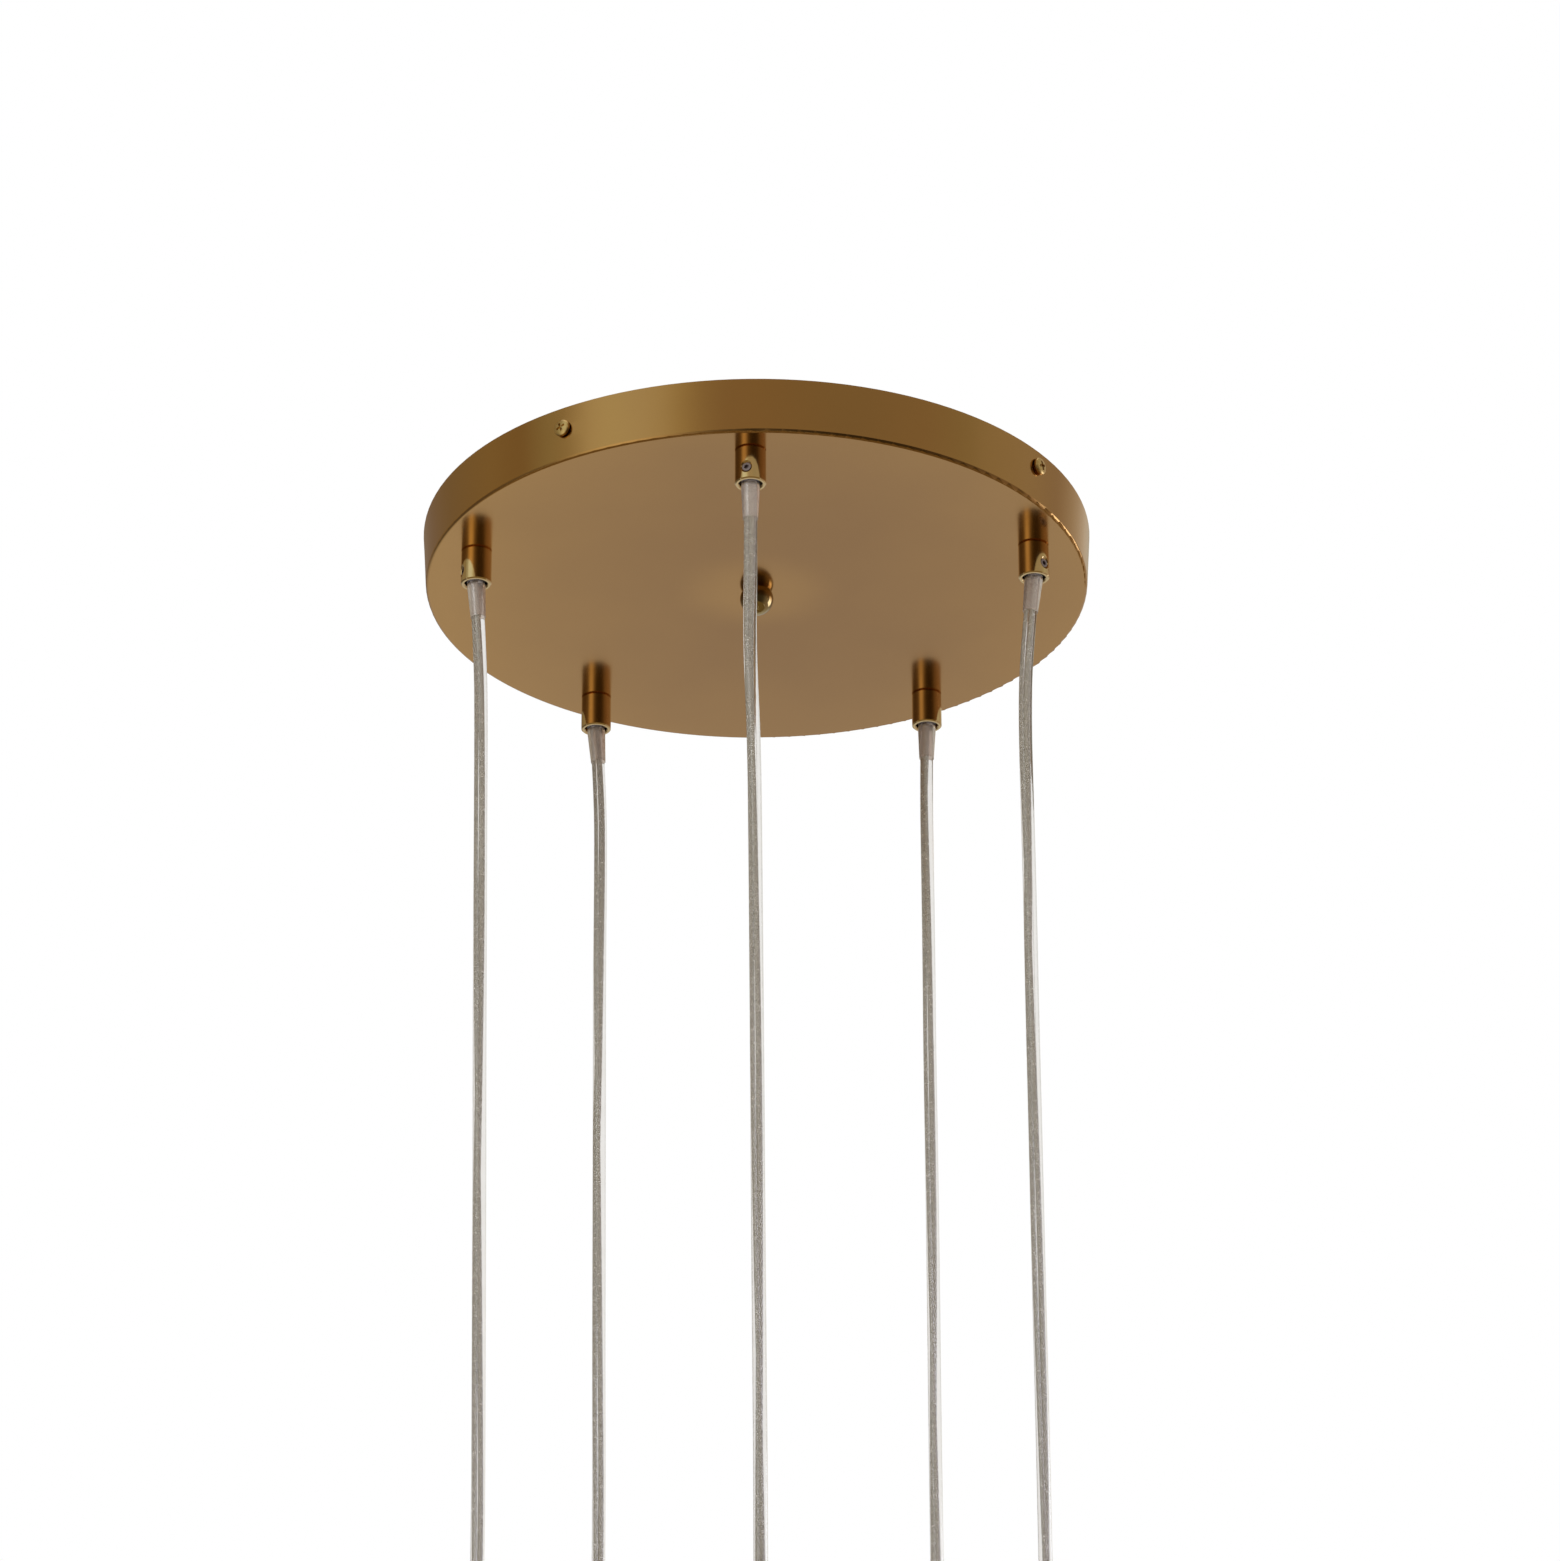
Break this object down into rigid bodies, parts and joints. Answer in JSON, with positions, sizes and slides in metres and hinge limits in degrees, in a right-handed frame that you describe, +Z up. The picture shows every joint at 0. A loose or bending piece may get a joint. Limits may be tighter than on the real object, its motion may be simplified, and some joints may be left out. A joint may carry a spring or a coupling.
{
  "type": "cluster pendant",
  "caption": "Round brass ceiling canopy with a ring of cord grips, each hanging a clear flex with a brass lampholder and an opal globe bulb.",
  "frame": {"origin": "centre of the crossbar's top face, which lies on the ceiling", "axes": "+Z up into the ceiling, square to the canopy's face; -Y towards the first pendant"},
  "size_m": [0.3219, 0.3272, 0.7248],
  "materials": {
    "satin_brass": "satin brushed and lacquered",
    "polished_brass": "polished and lacquered",
    "zinc_steel": "zinc plated",
    "nickel_plate": "bright nickel plate",
    "contact_brass": "bare pressed brass",
    "tinned_copper": "tinned strand in clear insulation",
    "clear_pvc": "clear, smooth",
    "white_nylon": "moulded",
    "black_phenolic": "moulded, semi-gloss",
    "opal_glass": "opal, smooth"
  },
  "bodies": {
    "canopy": {"crossbar": "zinc_steel", "ceiling_bracket": "zinc_steel", "centre_stud": "zinc_steel", "stud_nuts": "zinc_steel", "canopy_pan": "satin_brass", "rim_screws": "polished_brass", "finial_ball": "polished_brass", "cord_grip_1": "polished_brass", "cord_grip_2": "polished_brass", "cord_grip_3": "polished_brass", "cord_grip_4": "polished_brass", "cord_grip_5": "polished_brass", "grip_nipples": "zinc_steel", "grip_nuts": "zinc_steel", "grip_set_screws": "nickel_plate", "cord_tails": "clear_pvc", "terminal_block": "white_nylon", "terminal_screws": "zinc_steel", "conductor_leads": "tinned_copper"},
    "pendant_1": {"cord_1": "clear_pvc", "cord_sleeve_1": "clear_pvc"},
    "lampholder_1": {"holder_grip_1": "polished_brass", "holder_cup_1": "satin_brass", "socket_insert_1": "black_phenolic", "socket_contacts_1": "contact_brass"},
    "bulb_1": {"bulb_base_1": "nickel_plate", "bulb_globe_1": "opal_glass"},
    "pendant_2": {"cord_2": "clear_pvc", "cord_sleeve_2": "clear_pvc"},
    "lampholder_2": {"holder_grip_2": "polished_brass", "holder_cup_2": "satin_brass", "socket_insert_2": "black_phenolic", "socket_contacts_2": "contact_brass"},
    "bulb_2": {"bulb_base_2": "nickel_plate", "bulb_globe_2": "opal_glass"},
    "pendant_3": {"cord_3": "clear_pvc", "cord_sleeve_3": "clear_pvc"},
    "lampholder_3": {"holder_grip_3": "polished_brass", "holder_cup_3": "satin_brass", "socket_insert_3": "black_phenolic", "socket_contacts_3": "contact_brass"},
    "bulb_3": {"bulb_base_3": "nickel_plate", "bulb_globe_3": "opal_glass"},
    "pendant_4": {"cord_4": "clear_pvc", "cord_sleeve_4": "clear_pvc"},
    "lampholder_4": {"holder_grip_4": "polished_brass", "holder_cup_4": "satin_brass", "socket_insert_4": "black_phenolic", "socket_contacts_4": "contact_brass"},
    "bulb_4": {"bulb_base_4": "nickel_plate", "bulb_globe_4": "opal_glass"},
    "pendant_5": {"cord_5": "clear_pvc", "cord_sleeve_5": "clear_pvc"},
    "lampholder_5": {"holder_grip_5": "polished_brass", "holder_cup_5": "satin_brass", "socket_insert_5": "black_phenolic", "socket_contacts_5": "contact_brass"},
    "bulb_5": {"bulb_base_5": "nickel_plate", "bulb_globe_5": "opal_glass"}
  },
  "joints": [
    {"name": "swing_1", "type": "hinge", "parent": "canopy", "child": "pendant_1", "pos_m": [0, -0.1335, -0.0423], "axis": [-1, 0, 0], "range_deg": [-4, 25]},
    {"name": "height_1", "type": "slide", "parent": "pendant_1", "child": "lampholder_1", "axis": [0, 0, 1], "range_m": [0, 0.25], "deforming": ["cord_1"]},
    {"name": "bulb_turn_1", "type": "hinge", "parent": "lampholder_1", "child": "bulb_1", "pos_m": [0.0039, -0.1332, -0.6], "axis": [0, 0, 1], "continuous": true},
    {"name": "swing_2", "type": "hinge", "parent": "canopy", "child": "pendant_2", "pos_m": [-0.12697, -0.04125, -0.0423], "axis": [-0.309, 0.9511, 0], "range_deg": [-4, 25]},
    {"name": "height_2", "type": "slide", "parent": "pendant_2", "child": "lampholder_2", "axis": [0, 0, 1], "range_m": [0, 0.25], "deforming": ["cord_2"]},
    {"name": "bulb_turn_2", "type": "hinge", "parent": "lampholder_2", "child": "bulb_2", "pos_m": [-0.11867, -0.04085, -0.6], "axis": [0, 0, 1], "continuous": true},
    {"name": "swing_3", "type": "hinge", "parent": "canopy", "child": "pendant_3", "pos_m": [-0.07847, 0.108, -0.0423], "axis": [0.809, 0.5878, 0], "range_deg": [-4, 25]},
    {"name": "height_3", "type": "slide", "parent": "pendant_3", "child": "lampholder_3", "axis": [0, 0, 1], "range_m": [0, 0.25], "deforming": ["cord_3"]},
    {"name": "bulb_turn_3", "type": "hinge", "parent": "lampholder_3", "child": "bulb_3", "pos_m": [-0.07357, 0.1075, -0.6], "axis": [0, 0, 1], "continuous": true},
    {"name": "swing_4", "type": "hinge", "parent": "canopy", "child": "pendant_4", "pos_m": [0.07847, 0.108, -0.0423], "axis": [0.809, -0.5878, 0], "range_deg": [-4, 25]},
    {"name": "height_4", "type": "slide", "parent": "pendant_4", "child": "lampholder_4", "axis": [0, 0, 1], "range_m": [0, 0.25], "deforming": ["cord_4"]},
    {"name": "bulb_turn_4", "type": "hinge", "parent": "lampholder_4", "child": "bulb_4", "pos_m": [0.07807, 0.1085, -0.6], "axis": [0, 0, 1], "continuous": true},
    {"name": "swing_5", "type": "hinge", "parent": "canopy", "child": "pendant_5", "pos_m": [0.12697, -0.04125, -0.0423], "axis": [-0.309, -0.9511, 0], "range_deg": [-4, 25]},
    {"name": "height_5", "type": "slide", "parent": "pendant_5", "child": "lampholder_5", "axis": [0, 0, 1], "range_m": [0, 0.25], "deforming": ["cord_5"]},
    {"name": "bulb_turn_5", "type": "hinge", "parent": "lampholder_5", "child": "bulb_5", "pos_m": [0.12317, -0.04145, -0.6], "axis": [0, 0, 1], "continuous": true}
  ]
}
